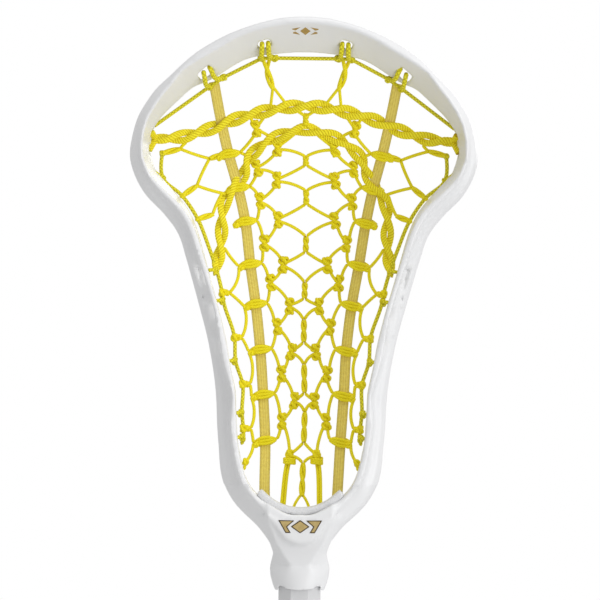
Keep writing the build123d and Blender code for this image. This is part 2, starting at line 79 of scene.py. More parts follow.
POCKET_DEPTH = 22
POCKET_BOTTOM = 30
POCKET_TOP = 290
DRIFT_HEIGHTS = (35, 60, 97, 144, 205, 250)
NET_DRIFT = (0.2, 1.0, 1.9, 0.8, 1.8, 0.8)  # how far to the right the net hangs at these heights
LOWEST_RAIL_Y = 24
RAIL_RISE = 26
RAIL_RISE_FROM = 120
RAIL_RISE_POWER = 2.2
RAIL_TOP = 298
SCOOP_EDGE_STEP = 4  # how far the scoop's face starts in front of the back of the head
SCOOP_SLOPE = 1.33  # how far the scoop's face comes forward for each unit outward
INNER_EDGE = [
    (22.5, 51.5), (30.3, 62), (34, 76), (35.6, 95), (38.2, 120), (43.5, 147),
    (50, 172), (55.3, 188.5), (60.5, 204), (69.5, 218), (80, 229.5), (84.8, 240),
]


def rail_y(height):
    """Back face of the head: level beside the pocket, then rising forward to the scoop."""
    rise = max(0, (height - RAIL_RISE_FROM) / (RAIL_TOP - RAIL_RISE_FROM))
    return LOWEST_RAIL_Y - RAIL_RISE * rise**RAIL_RISE_POWER


def scoop_face_y(distance, edge_height):
    """Front face of the scoop, at a distance outward from its inner edge."""
    return rail_y(edge_height) - SCOOP_EDGE_STEP - SCOOP_SLOPE * distance


def inner_half_width(height):
    """Half the width between the sidewalls."""
    widths, heights = zip(*INNER_EDGE)
    return float(np.interp(height, heights, widths))


def at(x, height, y):
    """A place on the head, in metres."""
    return np.array([x * MM, y * MM, COLLAR_Z + height * MM])


def on_net(x, height, forward=0.0):
    """A place on the strung pocket, or some way in front of it."""
    along = (height - POCKET_BOTTOM) / (POCKET_TOP - POCKET_BOTTOM)
    sag = POCKET_DEPTH * sin(pi * min(max(along, 0), 1))
    across = min(abs(x) / (inner_half_width(height) + 1), 1)
    bulge = 1 - across**2
    drift = float(np.interp(height, DRIFT_HEIGHTS, NET_DRIFT)) * bulge
    return at(x + drift, height, rail_y(height) + sag * bulge - forward)


# ---- swept cords --------------------------------------------------------------------------


def unit(vector):
    return vector / max(np.linalg.norm(vector), 1e-12)


def smooth(points, step):
    """Even steps along one smooth curve through a few points."""
    points = np.array(points, float)
    gaps = np.linalg.norm(np.diff(points, axis=0), axis=1)
    slopes = np.diff(points, axis=0) / gaps[:, None]
    tangents = np.empty_like(points)
    tangents[0], tangents[-1] = slopes[0], slopes[-1]
    for i in range(1, len(points) - 1):
        share = gaps[i] / (gaps[i - 1] + gaps[i])
        tangents[i] = slopes[i - 1] * share + slopes[i] * (1 - share)
    if len(points) > 2:
        tangents[0] = 1.5 * slopes[0] - 0.5 * tangents[1]
        tangents[-1] = 1.5 * slopes[-1] - 0.5 * tangents[-2]
    places = []
    for i, gap in enumerate(gaps):
        count = max(2, int(round(gap / step)))
        t = (np.arange(count) / count)[:, None]
        places.append(
            (2 * t**3 - 3 * t**2 + 1) * points[i]
            + (t**3 - 2 * t**2 + t) * gap * tangents[i]
            + (3 * t**2 - 2 * t**3) * points[i + 1]
            + (t**3 - t**2) * gap * tangents[i + 1]
        )
    return np.vstack(places + [points[-1:]])


def lengths_along(path):
    """How far along a path each of its places is."""
    steps = np.linalg.norm(np.diff(path, axis=0), axis=1)
    return np.concatenate([[0], np.cumsum(steps)])


def oval(width, depth, sides, power=1.0):
    """Outline of a cord's section, round at power 1 and boxier below it."""
    angles = 2 * pi * np.arange(sides) / sides
    x = np.sign(np.cos(angles)) * np.abs(np.cos(angles)) ** power * width / 2
    y = np.sign(np.sin(angles)) * np.abs(np.sin(angles)) ** power * depth / 2
    return np.stack([x, y], axis=1)


def crosswise(path, facing=None, closed=False):
    """Two directions across a path at each of its places, the second towards facing if given."""
    ahead = np.roll(path, -1, axis=0) if closed else np.vstack([path[1:], path[-1:] * 2 - path[-2:-1]])
    behind = np.roll(path, 1, axis=0) if closed else np.vstack([path[:1] * 2 - path[1:2], path[:-1]])
    tangents = ahead - behind
    tangents /= np.linalg.norm(tangents, axis=1)[:, None]
    normals = np.empty_like(path)
    if facing is not None:
        normals[:] = facing
        normals -= (normals * tangents).sum(1)[:, None] * tangents
        normals /= np.linalg.norm(normals, axis=1)[:, None]
    else:
        start = FORWARD if abs(tangents[0] @ FORWARD) < 0.9 else np.array([0.0, 0.0, 1.0])
        normal = start
        for i, tangent in enumerate(tangents):
            normal = unit(normal - (normal @ tangent) * tangent)
            normals[i] = normal
        if closed:
            last = unit(normal - (normal @ tangents[0]) * tangents[0])
            side = np.cross(tangents[0], normals[0])
            slip = np.arctan2(last @ side, last @ normals[0])
            back = -slip * np.arange(len(path)) / len(path)
            sides = np.cross(tangents, normals)
            normals = normals * np.cos(back)[:, None] + sides * np.sin(back)[:, None]
    return np.cross(tangents, normals), normals


PRESSED = 1.25  # a cord's depth over its width where it is wound round another


class Cords:
    """Collects swept tubes and makes one mesh of them, with u around and v along in mm."""

    def __init__(self, seed=0):
        self.places, self.loops, self.totals, self.maps = [], [], [], []
        self.count = 0
        self.random = np.random.default_rng(seed)

    def sweep(self, path, section, facing=None, sizes=None, roll=None, closed=False):
        """A section drawn along a path, in metres, with a size and a roll at each place."""
        path = np.asarray(path, float)
        across, normal = crosswise(path, facing, closed)
        if roll is not None:
            turn = np.asarray(roll)[:, None]
            across, normal = (
                across * np.cos(turn) + normal * np.sin(turn),
                normal * np.cos(turn) - across * np.sin(turn),
            )
        sizes = np.ones(len(path)) if sizes is None else sizes
        sizes = sizes.reshape(len(path), -1, 1)
        rings = path[:, None] + sizes * (
            section[None, :, :1] * across[:, None] + section[None, :, 1:] * normal[:, None]
        )
        rows, sides = rings.shape[:2]
        along = lengths_along(path) / MM
        if closed:
            along = np.append(along, along[-1] + np.linalg.norm(path[0] - path[-1]) / MM)
        ends = np.arange(rows if closed else rows - 1)
        i, j = np.meshgrid(ends, np.arange(sides), indexing="ij")
        next_i, next_j = (i + 1) % rows, (j + 1) % sides
        quads = np.stack(
            [i * sides + j, next_i * sides + j, next_i * sides + next_j, i * sides + next_j], axis=-1
        )
        self.loops.append(quads.reshape(-1) + self.count)
        self.totals.append(np.full(i.size, 4))
        u = np.stack([j, j, j + 1, j + 1], axis=-1) / sides
        v = np.stack([along[i], along[i + 1], along[i + 1], along[i]], axis=-1)
        self.maps.append(np.stack([u, v], axis=-1).reshape(-1, 2))
        if not closed:
            first = np.arange(sides)
            last = np.arange(sides)[::-1] + (rows - 1) * sides
            for cap, place in ((first, along[0]), (last, along[-1])):
                self.loops.append(cap + self.count)
                self.totals.append(np.array([sides]))
                self.maps.append(np.stack([np.full(sides, 0.5), np.full(sides, place)], axis=-1))
        self.places.append(rings.reshape(-1, 3))
        self.count += rows * sides

    def strand(self, points, width):
        """A cord through a few points, with rounded ends."""
        path = smooth(points, 0.8 * MM)
        near_end = np.minimum(lengths_along(path), lengths_along(path[::-1])[::-1])
        inward = (1 - near_end / (0.45 * width * MM)).clip(0, 1)
        sizes = np.sqrt(np.clip(1 - inward**2, 0.08, 1))
        self.sweep(path, oval(width * MM, width * MM, 10), sizes=sizes)

    def twist(self, points, width, half_turns, gap=None, start=pi / 2, flare=0.0):
        """Two cords wound round each other along a route, each pressed a little flat."""
        path = smooth(points, 0.5 * MM)
        across, normal = crosswise(path, FORWARD)
        share = lengths_along(path) / lengths_along(path)[-1]
        reach = (gap or width) / 2 * (1 + flare * (1 - 3 * share).clip(0, 1))
        section = oval(width * MM, width * PRESSED * MM, 12)
        for phase in (0, pi):
            turn = start + phase + share * pi * half_turns
            offset = across * np.cos(turn)[:, None] + normal * np.sin(turn)[:, None]
            self.sweep(path + MM * reach[:, None] * offset, section, FORWARD, roll=turn)

    def lump(self, centre, axis, width, height, cord, turn=0.0):
        """A small tight knot: one cord tied in a trefoil, longer or shorter along its axis."""
        axis = unit(np.asarray(axis, float))
        side = unit(np.cross(axis, FORWARD))
        front = np.cross(side, axis)
        t = np.linspace(0, 2 * pi, 54, endpoint=False)
        reach = (width - cord) / 2
        ring = reach * (0.6 + 0.4 * np.cos(3 * t))
        rise = (height - cord) / 2 * np.sin(3 * t)
        angle = (2 * t + turn)[:, None]
        outward = np.cos(angle) * side + np.sin(angle) * front
        path = np.asarray(centre) + MM * ring[:, None] * outward + MM * rise[:, None] * axis
        self.sweep(path, oval(cord * MM, cord * MM, 10), closed=True)

    def coil(self, centre, axis, width, depth, height, turns, cord, pinch=0.0, start=0.0):
        """Turns of cord wound round an axis; pinch draws the turns together at both sides."""
        axis = unit(np.asarray(axis, float))
        side = unit(np.cross(axis, FORWARD))
        front = np.cross(side, axis)
        count = int(turns * 30)
        a = start + np.linspace(0, 2 * pi * turns, count)
        spread = 1 - pinch * np.cos(a) ** 2
        rise = height * np.linspace(-0.5, 0.5, count) * spread
        path = (
            np.asarray(centre)
            + MM * (width / 2 * np.cos(a))[:, None] * side
            + MM * (depth / 2 * np.sin(a))[:, None] * front
            + MM * rise[:, None] * axis
        )
        self.sweep(path, oval(cord * MM, cord * MM, 10))

    def piece(self, name, material, slot, *nodes):
        """The mesh object of everything collected, in place of the CAD nodes it stands for."""
        mesh = bpy.data.meshes.new(name)
        places = np.vstack(self.places)
        loops = np.concatenate(self.loops)
        totals = np.concatenate(self.totals)
        mesh.vertices.add(len(places))
        mesh.vertices.foreach_set("co", places.ravel())
        mesh.loops.add(len(loops))
        mesh.loops.foreach_set("vertex_index", loops.astype(np.int32))
        mesh.polygons.add(len(totals))
        starts = np.concatenate([[0], np.cumsum(totals)[:-1]])
        mesh.polygons.foreach_set("loop_start", starts.astype(np.int32))
        mesh.polygons.foreach_set("loop_total", totals.astype(np.int32))
        mesh.update(calc_edges=True)
        mesh.uv_layers.new(name="cord").uv.foreach_set("vector", np.vstack(self.maps).ravel())
        mesh.validate()
        mesh.shade_smooth()
        mesh.materials.append(material)
        return settle(bpy.data.objects.new(name, mesh), slot, *nodes)


def soften(piece, low, high, passes):
    """Blends the steps of a mesh inside a box, as a moulded part has them filleted."""
    shell = bmesh.new()
    shell.from_mesh(piece.data)
    inside = [v for v in shell.verts if all(a <= c <= b for a, c, b in zip(low, v.co, high))]
    for _ in range(passes):
        bmesh.ops.smooth_vert(
            shell, verts=inside, factor=0.5, use_axis_x=True, use_axis_y=True, use_axis_z=True
        )
    shell.to_mesh(piece.data)
    shell.free()


def vertex_places(piece):
    """Where a piece's vertices are, as rows of x, y and z."""
    places = np.empty(len(piece.data.vertices) * 3)
    piece.data.vertices.foreach_get("co", places)
    return places.reshape(-1, 3)


def move_vertices(piece, places):
    piece.data.vertices.foreach_set("co", places.ravel())
    piece.data.update()


def settle(piece, slot, *nodes):
    """Puts a new piece in the scene, on the stick and in place of the CAD nodes it stands for."""
    if piece.name not in bpy.context.scene.collection.objects:
        bpy.context.scene.collection.objects.link(piece)
    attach(piece, "stick")
    if nodes:
        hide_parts(*nodes)
    return piece


# ---- materials ----------------------------------------------------------------------------

RIB_PITCH = 1.6  # the distance between a lace's ribs
RIB_SLANT = 4  # how many ribs a lace's circumference crosses
THONG_PITCH = 0.75  # the distance between a thong's wefts
THONG_WARPS = 26


class Graph:
    """A material's node tree, with short calls for the nodes used here."""

    def __init__(self, name, roughness, **constants):
        self.material = bpy.data.materials.new(name)
        self.material.use_nodes = True
        self.nodes = self.material.node_tree.nodes
        self.links = self.material.node_tree.links
        self.shader = self.nodes["Principled BSDF"]
        self.shader.inputs["Roughness"].default_value = roughness
        for socket, value in constants.items():
            self.shader.inputs[socket.replace("_", " ")].default_value = value

    def feed(self, socket, value):
        if isinstance(value, bpy.types.NodeSocket):
            self.links.new(value, socket)
        else:
            socket.default_value = value

    def node(self, kind, **inputs):
        made = self.nodes.new("ShaderNode" + kind)
        for name, value in inputs.items():
            self.feed(made.inputs[name], value)
        return made.outputs[0]

    def math(self, operation, *values):
        made = self.nodes.new("ShaderNodeMath")
        made.operation = operation
        for socket, value in zip(made.inputs, values):
            self.feed(socket, value)
        return made.outputs[0]

    def place(self, name):
        """Object or UV coordinates."""
        return self.nodes.new("ShaderNodeTexCoord").outputs[name]

    def cord_place(self):
        """A cord's UV in two parts: the share of the way around, and how far along in mm."""
        split = self.nodes.new("ShaderNodeSeparateXYZ")
        self.links.new(self.place("UV"), split.inputs[0])
        return split.outputs[0], split.outputs[1]

    def crowns(self, phase):
        """A row of round crowns, one to every pi of the phase."""
        return self.math("ABSOLUTE", self.math("SINE", phase))

    def noise(self, scale, detail=3.0):
        return self.node("TexNoise", Vector=self.place("Object"), Scale=scale, Detail=detail)

    def mottle(self, scale, amount, middle):
        """Noise of some amount, lowered by its middle."""
        return self.math("SUBTRACT", self.math("MULTIPLY", self.noise(scale), amount), middle)

    def blend_colour(self, factor, low, high):
        ramp = self.nodes.new("ShaderNodeValToRGB")
        ramp.color_ramp.elements[0].color = (*low, 1)
        ramp.color_ramp.elements[1].color = (*high, 1)
        self.feed(ramp.inputs[0], factor)
        return ramp.outputs[0]

    def finish(self, colour, height=None, distance=0.0001, strength=1.0):
        self.links.new(colour, self.shader.inputs["Base Color"])
        if height is not None:
            bump = self.node("Bump", Height=height, Distance=distance, Strength=strength)
            self.links.new(bump, self.shader.inputs["Normal"])
        return self.material


def braid_height(graph, strands, pitch):
    """Crowns of a round braid from a cord's UV: strands around, one crossing per pitch in mm."""
    u, v = graph.cord_place()
    around = graph.math("MULTIPLY", u, pi * strands)
    along = graph.math("MULTIPLY", v, pi / pitch)
    one = graph.crowns(graph.math("ADD", around, along))
    other = graph.crowns(graph.math("SUBTRACT", around, along))
    return graph.math("MULTIPLY", one, other)


def cord_material(name, shaded_gap_colour, crown_colour, strands, pitch, depth):
    """Braided cord, painted darker in the gaps of its braid as painted shade, and lighter on the
    crowns.
    """
    graph = Graph(name, 0.55, Specular_IOR_Level=0.18)
    crowns = braid_height(graph, strands, pitch)
    # Painted shade: the colour darkens towards the gaps between the braid's crowns.
    shade = graph.math("ADD", graph.math("POWER", crowns, 0.5), graph.mottle(900, 0.35, 0.17))
    return graph.finish(graph.blend_colour(shade, shaded_gap_colour, crown_colour), crowns, depth * MM)


def make_plastic():
    graph = Graph("white_plastic", 0.36, Coat_Weight=0.12, Coat_Roughness=0.3)
    tone = graph.blend_colour(graph.noise(18), (0.80, 0.805, 0.815), (0.84, 0.84, 0.845))
    return graph.finish(tone, graph.noise(1600, 2), 0.00002, 0.5)


def make_foam():
    graph = Graph("grey_foam", 0.85, Specular_IOR_Level=0.25)
    pores = graph.node("TexVoronoi", Vector=graph.place("Object"), Scale=1500.0)
    tone = graph.blend_colour(pores, (0.66, 0.665, 0.68), (0.80, 0.80, 0.805))
    return graph.finish(tone, pores, 0.00012)


def make_webbing():
    graph = Graph("thong_webbing", 0.62, Sheen_Weight=0.1, Sheen_Roughness=0.5)
    u, v = graph.cord_place()
    warp = graph.crowns(graph.math("MULTIPLY", u, pi * THONG_WARPS))
    weft = graph.crowns(graph.math("MULTIPLY", v, pi / THONG_PITCH))
    weave = graph.math("ADD", graph.math("MULTIPLY", warp, 0.45), graph.math("MULTIPLY", weft, 0.55))
    shade = graph.math("ADD", weave, graph.mottle(500, 0.4, 0.2))
    # Painted shade: darker where the weave's warps and wefts dip, lighter on their crowns.
    tone = graph.blend_colour(shade, (0.68, 0.47, 0.045), (0.98, 0.82, 0.17))
    return graph.finish(tone, weave, 0.00025)


def make_coat():
    graph = Graph("shaft_coat", 0.3, Coat_Weight=0.3, Coat_Roughness=0.2)
    tone = graph.blend_colour(graph.noise(14), (0.65, 0.655, 0.665), (0.70, 0.70, 0.705))
    return graph.finish(tone, graph.noise(2200, 2), 0.00002, 0.4)


def make_rubber():
    graph = Graph("cap_rubber", 0.7, Specular_IOR_Level=0.35)
    tone = graph.blend_colour(graph.noise(120), (0.012, 0.012, 0.013), (0.028, 0.028, 0.03))
    return graph.finish(tone, graph.noise(2500, 4), 0.00008)


def make_steel():
    graph = Graph("screw_steel", 0.3, Metallic=1.0)
    tone = graph.blend_colour(graph.noise(700), (0.45, 0.45, 0.46), (0.66, 0.66, 0.67))
    return graph.finish(tone, graph.noise(1800, 2), 0.00003)


def make_gold(name, low, high, roughness, metal):
    graph = Graph(name, roughness, Metallic=metal)
    return graph.finish(graph.blend_colour(graph.noise(450), low, high), graph.noise(1500), 0.00003)


def make_lace():
    """Soft yellow lace with a rib across it at every pick of its weave, painted darker in the grooves
    between ribs as painted shade.
    """
    graph = Graph("yellow_lace", 0.65, Specular_IOR_Level=0.15)
    u, v = graph.cord_place()
    slant = graph.math("MULTIPLY", u, pi * RIB_SLANT)
    along = graph.math("MULTIPLY", v, pi / RIB_PITCH)
    ribs = graph.crowns(graph.math("ADD", along, slant))
    shade = graph.math("ADD", graph.math("POWER", ribs, 0.6), graph.mottle(700, 0.3, 0.15))
    # Painted shade: the first colour fills the grooves between the ribs, the second the rib crowns.
    tone = graph.blend_colour(shade, (0.66, 0.46, 0.002), (1.0, 0.89, 0.035))
    return graph.finish(tone, ribs, 0.0002)


PLASTIC = make_plastic()
FOAM = make_foam()
WEBBING = make_webbing()
SHAFT_COAT = make_coat()
RUBBER = make_rubber()
STEEL = make_steel()
GOLD = make_gold("pale_gold", (0.46, 0.33, 0.11), (0.74, 0.57, 0.26), 0.35, 0.6)
GOLD_PRINT = make_gold("gold_print", (0.36, 0.23, 0.06), (0.50, 0.34, 0.11), 0.45, 0.3)
BRONZE = make_gold("dark_bronze", (0.045, 0.03, 0.014), (0.10, 0.07, 0.035), 0.4, 0.5)
# Each cord's first colour is painted shade in the gaps of its braid; the second colour is on the
# crowns.
CORD = cord_material(
    "yellow_cord", (0.80, 0.64, 0.006), (0.98, 0.88, 0.022), strands=4, pitch=1.5, depth=0.06
)
TOP_CORD = cord_material(
    "yellow_top_cord", (0.48, 0.38, 0.006), (0.98, 0.92, 0.04), strands=3, pitch=2.2, depth=0.25
)
LACE = make_lace()

# ---- solid pieces -------------------------------------------------------------------------


def moulded(node, name, material, slot, voxel, passes, swell=0.0):
    """A copy of a CAD node with soft, moulded edges: remeshed evenly, then smoothed."""
    piece = bpy.data.objects.new(name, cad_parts[node].data.copy())
    bpy.context.scene.collection.objects.link(piece)
    remesh = piece.modifiers.new("even", "REMESH")
    remesh.mode = "VOXEL"
    remesh.voxel_size = voxel * MM
    remesh.use_smooth_shade = True
    smoothing = piece.modifiers.new("smoothing", "SMOOTH")
    smoothing.factor = 0.5
    smoothing.iterations = passes
    depsgraph = bpy.context.evaluated_depsgraph_get()
    mesh = bpy.data.meshes.new_from_object(piece.evaluated_get(depsgraph))
    piece.modifiers.clear()
    piece.data = mesh
    if swell:
        normals = np.empty(len(mesh.vertices) * 3)
        mesh.vertex_normals.foreach_get("vector", normals)
        move_vertices(piece, vertex_places(piece) + normals.reshape(-1, 3) * swell * MM)
    mesh.name = name
    mesh.materials.clear()
    mesh.materials.append(material)
    mesh.shade_smooth()
    return settle(piece, slot, node)


COLLAR_HEIGHTS = (0, 3.5, 8, 12)
COLLAR_HALF_WIDTHS = (13.5, 14.9, 16.2, 16.5)
COLLAR_HALF_DEPTHS = (14.1, 14.9, 15.3, 15.4)
COLLAR_FADE = (8.5, 12.5)  # from one height to the other the rounding ends
FRONT_FADE = (-0.009, -0.002)  # from one y to the other, in metres, it ends towards the back
COLLAR_TOP = 14
SOCKET_RADIUS = 13.2  # nearer the axis than this is the socket's wall, which stays as it is


def round_collar(piece):
    """Rounds the front of the collar, up to where the neck's flat tongue ends."""
    places = vertex_places(piece)
    x, y, height = places[:, 0], places[:, 1], (places[:, 2] - COLLAR_Z) / MM
    radius = np.hypot(x, y)
    half_width = np.interp(height, COLLAR_HEIGHTS, COLLAR_HALF_WIDTHS) * MM
    half_depth = np.interp(height, COLLAR_HEIGHTS, COLLAR_HALF_DEPTHS) * MM
    rounded = 1 / np.hypot(x / radius / half_width, y / radius / half_depth)
    share = np.interp(height, COLLAR_FADE, (1, 0)) * np.interp(y, FRONT_FADE, (1, 0))
    share[(radius < SOCKET_RADIUS * MM) | (height > COLLAR_TOP)] = 0
    places[:, :2] *= (1 + share * (rounded / radius - 1))[:, None]
    move_vertices(piece, places)


OUTER_EDGE = [
    (44.2, 64), (46.6, 88), (48.3, 114), (51.9, 136), (58.2, 160), (65.1, 184), (69.2, 196.5),
    (77.5, 208), (88.8, 220), (94.9, 232), (96.8, 240.5), (95.6, 250), (92.2, 262), (84.8, 274),
    (73.6, 286), (59.4, 298), (43.5, 307.3), (26.6, 313.6), (13.5, 316.8), (0, 317.7),
]
WALL_EDGE = [
    (34.9, 76), (35.8, 94), (37, 112), (39.6, 125), (42.8, 142), (46.4, 155.5), (51, 172),
    (56, 190), (59.6, 202),
]
FADE = 14  # over how much of its length a curve takes hold
PAST_MIDDLE = 20  # how far above a curve's end it still holds, where it crosses the middle
BESIDE = 4  # how many places to each side count for where the edge is
AVERAGED = 13  # over how many places the edge's distance is evened
AT_ONCE = 4000  # how many vertices are compared with a curve at a time


def fair_edge(piece, outline, way, width):
    """Draws an edge of the head onto one smooth curve, and what lies beside it less and less.
    The way is 1 for the outer edge and -1 for the inner one."""
    edge = smooth([np.array([x, 0.0, height]) for x, height in outline], 0.5)[:, [0, 2]]
    tangent = np.gradient(edge, axis=0)
    tangent /= np.linalg.norm(tangent, axis=1)[:, None]
    outward = way * np.stack([tangent[:, 1], -tangent[:, 0]], axis=1)
    places = vertex_places(piece)
    sign = np.where(places[:, 0] < 0, -1, 1)
    flat = np.stack([np.abs(places[:, 0]), places[:, 2] - COLLAR_Z], axis=1) / MM
    low, high = outline[0][1], outline[-1][1]
    if outline[-1][0] == 0:
        high += PAST_MIDDLE
    beside = np.flatnonzero((flat[:, 1] > low) & (flat[:, 1] < high))
    nearest = np.concatenate([
        ((flat[part, None] - edge) ** 2).sum(axis=2).argmin(axis=1)
        for part in np.array_split(beside, 1 + len(beside) // AT_ONCE)
    ])
    offset = ((flat[beside] - edge[nearest]) * outward[nearest]).sum(axis=1)
    reach = np.full(len(edge) + 2 * BESIDE, -np.inf)
    for shift in range(2 * BESIDE + 1):
        np.maximum.at(reach, nearest + shift, offset)
    reach = np.pad(reach[BESIDE:-BESIDE], AVERAGED // 2, "edge")
    reach = np.convolve(reach, np.full(AVERAGED, 1 / AVERAGED), "valid")
    share = np.clip(1 + (offset - reach[nearest]) / width, 0, 1)
    from_low = np.clip((flat[beside, 1] - low) / FADE, 0, 1)
    share *= from_low * np.clip((high - flat[beside, 1]) / FADE, 0, 1)
    move = -(reach[nearest] * share)[:, None] * outward[nearest] * MM
    places[beside, 0] += move[:, 0] * sign[beside]
    places[beside, 2] += move[:, 1]
    move_vertices(piece, places)


head = moulded("head_frame", "head", PLASTIC, "head_plastic", voxel=0.97, passes=3)
fair_edge(head, OUTER_EDGE, way=1, width=9)
fair_edge(head, WALL_EDGE, way=-1, width=5)
for side, _ in SIDES:  # the corners beside the throat
    nearer, further = sorted((side * 18, side * 44))
    soften(head, at(nearer, 28, -22), at(further, 58, 14), 70)
round_collar(head)
soften(head, at(-17, 1.5, -30), at(17, 13.5, -5), 12)  # the collar's front
moulded("ball_stop", "foam_ball_stop", FOAM, "foam", voxel=0.7, passes=2, swell=0.35)

for node, material in (("shaft", SHAFT_COAT), ("end_cap", RUBBER), ("head_screw", STEEL)):
    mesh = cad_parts[node].data
    mesh.materials.clear()
    mesh.materials.append(material)

# ---- gold ornaments -----------------------------------------------------------------------


def plate(shapes, origin, upward, normal, lifts, material, name, *nodes):
    """Flat raised shapes on a sloping face, each an outline in mm of (across, up), from one
    height above the face to another."""
    mesh = bpy.data.meshes.new(name)
    shell = bmesh.new()
    for outline in shapes:
        rows = []
        for lift in lifts:
            row = []
            for x, up in outline:
                place = origin + MM * (x * RIGHT + up * upward + lift * normal)
                row.append(shell.verts.new(place))
            rows.append(row)
        low, high = rows
        shell.faces.new(high)
        shell.faces.new(low[::-1])
        for i in range(len(low)):
            j = (i + 1) % len(low)
            shell.faces.new((low[i], low[j], high[j], high[i]))
    bmesh.ops.recalc_face_normals(shell, faces=shell.faces)
    edges = [edge for edge in shell.edges if edge.calc_face_angle(0) > radians(30)]
    bmesh.ops.bevel(shell, geom=edges, offset=0.12 * MM, segments=2, affect="EDGES")
    shell.to_mesh(mesh)
    shell.free()
    mesh.materials.append(material)
    return settle(bpy.data.objects.new(name, mesh), "gold", *nodes)


def grown(outline, margin):
    """An outline moved outward by a margin on every side."""
    points = [Vector(point) for point in outline]
    area = sum(a.x * b.y - b.x * a.y for a, b in zip(points, points[1:] + points[:1]))
    turn = 1 if area > 0 else -1
    moved = []
    for i, point in enumerate(points):
        before = (point - points[i - 1]).normalized()
        after = (points[(i + 1) % len(points)] - point).normalized()
        out_before = Vector((before.y, -before.x)) * turn
        out_after = Vector((after.y, -after.x)) * turn
        bisector = (out_before + out_after).normalized()
        moved.append(tuple(point + bisector * margin / max(bisector.dot(out_after), 0.5)))
    return moved


def both_sides(outline):
    """An outline and its mirror image."""
    return [outline, [(-x, up) for x, up in outline]]


RIGHT, UP = np.array([1.0, 0, 0]), np.array([0, 0, 1.0])
THROAT_SHAPES = [[(0, 3), (4.3, 0), (0, -3), (-4.3, 0)]]
THROAT_SHAPES += both_sides([(4.4, 3), (11.2, 3), (7.8, -3), (6.1, -3), (7.9, 0)])
THROAT_PLACE = at(0, 35.6, -20.0)
plate(
    [grown(shape, 0.55) for shape in THROAT_SHAPES], THROAT_PLACE, UP, FORWARD, (-0.4, 0.25),
    BRONZE, "throat_ornament_edge",
)
plate(
    THROAT_SHAPES, THROAT_PLACE, UP, FORWARD, (-0.4, 0.55), GOLD, "throat_ornament", "throat_emblem",
)

SCOOP_EDGE = 298.2  # the scoop's inner edge in the middle
SCOOP_EMBLEM_OUT = 11.6  # how far outward from it the ornament's middle is
scoop_up = unit(np.array([0, -SCOOP_SLOPE, 1.0]))
scoop_normal = unit(np.array([0, -1.0, -SCOOP_SLOPE]))
SCOOP_SHAPES = [[(0, 3.6), (3, 0), (0, -3.6), (-3, 0)]]
SCOOP_SHAPES += both_sides([(2.6, 3.4), (9, 1.8), (5.4, 0.4)])
SCOOP_SHAPES += both_sides([(2.6, -3.4), (9, -1.8), (5.4, -0.4)])
plate(
    SCOOP_SHAPES, at(0, SCOOP_EDGE + SCOOP_EMBLEM_OUT, scoop_face_y(SCOOP_EMBLEM_OUT, SCOOP_EDGE)),
    scoop_up, scoop_normal, (-0.5, 0.15), GOLD_PRINT, "scoop_ornament", "scoop_emblem",
)

# ---- stringing, as (x, height) on the right half ------------------------------------------

CORD_WIDTH = 1.82
SIDE_CORD_WIDTH = 2.15
TOP_CORD_WIDTH = 2.1
BOTTOM_CORD_WIDTH = 1.65
HANGER_CORD_WIDTH = 2.0
HANGER_FORK_WIDTH = 1.7
CENTRE_FORK_WIDTH = 1.6
THONG_WIDTH = 5.8
THONG_DEPTH = 1.25
KNOT_WIDTH = 6.3
KNOT_HEIGHT = 5.0
KNOT_STEP = 2.5  # how far a knot's two lumps are from its middle
KNOT_CORE = 3  # the width of what fills a knot inside

# The other knots, as (width, height).
WRAP_KNOT = (4.0, 3.8)
SIDE_KNOT = (4.8, 5.0)
BAR_KNOT = (4.2, 4.0)
TAIL_KNOT = (4.2, 4.4)
LATTICE_KNOT = (3.2, 3.2)
HOLE_KNOT = (4.2, 5.0)
WING_KNOT = (3.8, 3.6)
STOPPER_KNOT = (4.8, 4.4)
SHORT_TWIST_KNOT = (3.8, 3.4)
FORK_KNOT = (3.6, 3.4)
TOP_KNOT = (4.6, 4.4)
BIG_KNOT = (5.4, 5.2)

THONG_ROUTE = [
    (51, 281.5), (42.7, 241.7), (37.6, 223), (33.6, 204.2), (30.3, 180.5), (26.8, 158.2),
    (24, 132.8), (22.5, 107.7), (21, 82), (20.3, 53.8), (19.6, 37),
]
WRAPS = THONG_ROUTE[1:9]
WRAP_HALF_WIDTH = 5.6
WRAP_LEAN = 0.19
NEAR_KNOTS = [
    (15.9, 245.5), (16, 227.7), (15.8, 205.6), (12.5, 180.5), (8.2, 157.5), (7.1, 132),
    (5.6, 104.7), (7.6, 73.5),
]
FAR_KNOTS = [
    (27.5, 256.1), (26.9, 234.1), (25.5, 216), (23, 192.5), (19, 170.5), (14.9, 146),
    (12.6, 119.6), (12.3, 93.2),
]
LACE_TIES = [(22.4, 263.6), (31.4, 263)]  # where the highest knots hang from the upper lace
MIDDLE_TIE = [(0.4, 263.4), (5.6, 266.6)]
CENTRE_TWISTS = [
    (264.2, 258.9), (240.9, 236.4), (222, 214.8), (196.5, 188.1), (170.9, 162.1),
    (149.9, 137.6), (124.9, 109.3), (98.2, 81.6), (69.9, 51.6),
]
HALF_TURN_LENGTH = 8
SHORT_TWIST = 8  # a twist shorter than this has a knot at each end
SIDE_STRING = [
    (79, 241.8), (78.4, 228.1), (67.7, 218.3), (59, 205.5), (52.9, 190.5),
    (45, 164.6), (37.9, 139.7), (33.3, 113.8), (32.6, 89.1), (33.4, 80),
]
SIDE_KNOTS = [(45, 164.6), (37.9, 139.7), (33.3, 113.8), (32.6, 89.1)]
SIDE_BAR_REACH = 3.9
STRING_PULL = 2.4  # how near a hole its tail pulls the sidewall string
WING_HOLE = (84, 232)
SIDE_HOLES = [(50.6, 177), (46.6, 160), (39.5, 126.5), (35.8, 97.5), (34.8, 84)]
FIRST_SIDE_WRAP = 3  # the highest wrap whose mesh goes to the sidewall's knots
FIRST_SIDE_END = (44.6, 190)
CROSS_LACE_END = (31, 70.5)
